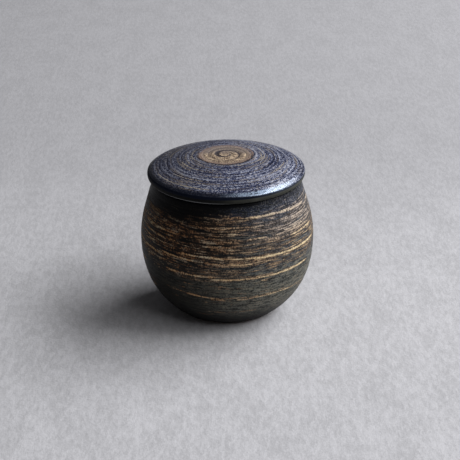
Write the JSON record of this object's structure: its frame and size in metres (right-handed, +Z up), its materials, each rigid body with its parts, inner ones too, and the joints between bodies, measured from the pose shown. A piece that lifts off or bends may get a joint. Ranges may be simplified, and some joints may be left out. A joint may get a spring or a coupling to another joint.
{
  "type": "lidded pot",
  "caption": "Small round stoneware pot on a trimmed foot ring, with a loose domed lid that is kept in place by a flange in the mouth and lifts straight off.",
  "frame": {"origin": "centre of the foot ring's underside, on the surface that the pot stands on", "axes": "+Z up along the axis of the pot and the lid; the side that the picture shows faces -Y"},
  "size_m": [0.09, 0.09, 0.0847],
  "materials": {
    "pot_glaze": "dark satin glaze over stoneware, with broken bands of brushed ochre slip",
    "lid_glaze": "blue-black satin glaze with a spiral of ochre slip on the crown"
  },
  "bodies": {
    "pot": {"pot": "pot_glaze"},
    "lid": {"lid": "lid_glaze"}
  },
  "joints": [
    {"name": "lid_lift", "type": "slide", "parent": "pot", "child": "lid", "axis": [0, 0, 1], "range_m": [0, 0.07]}
  ]
}
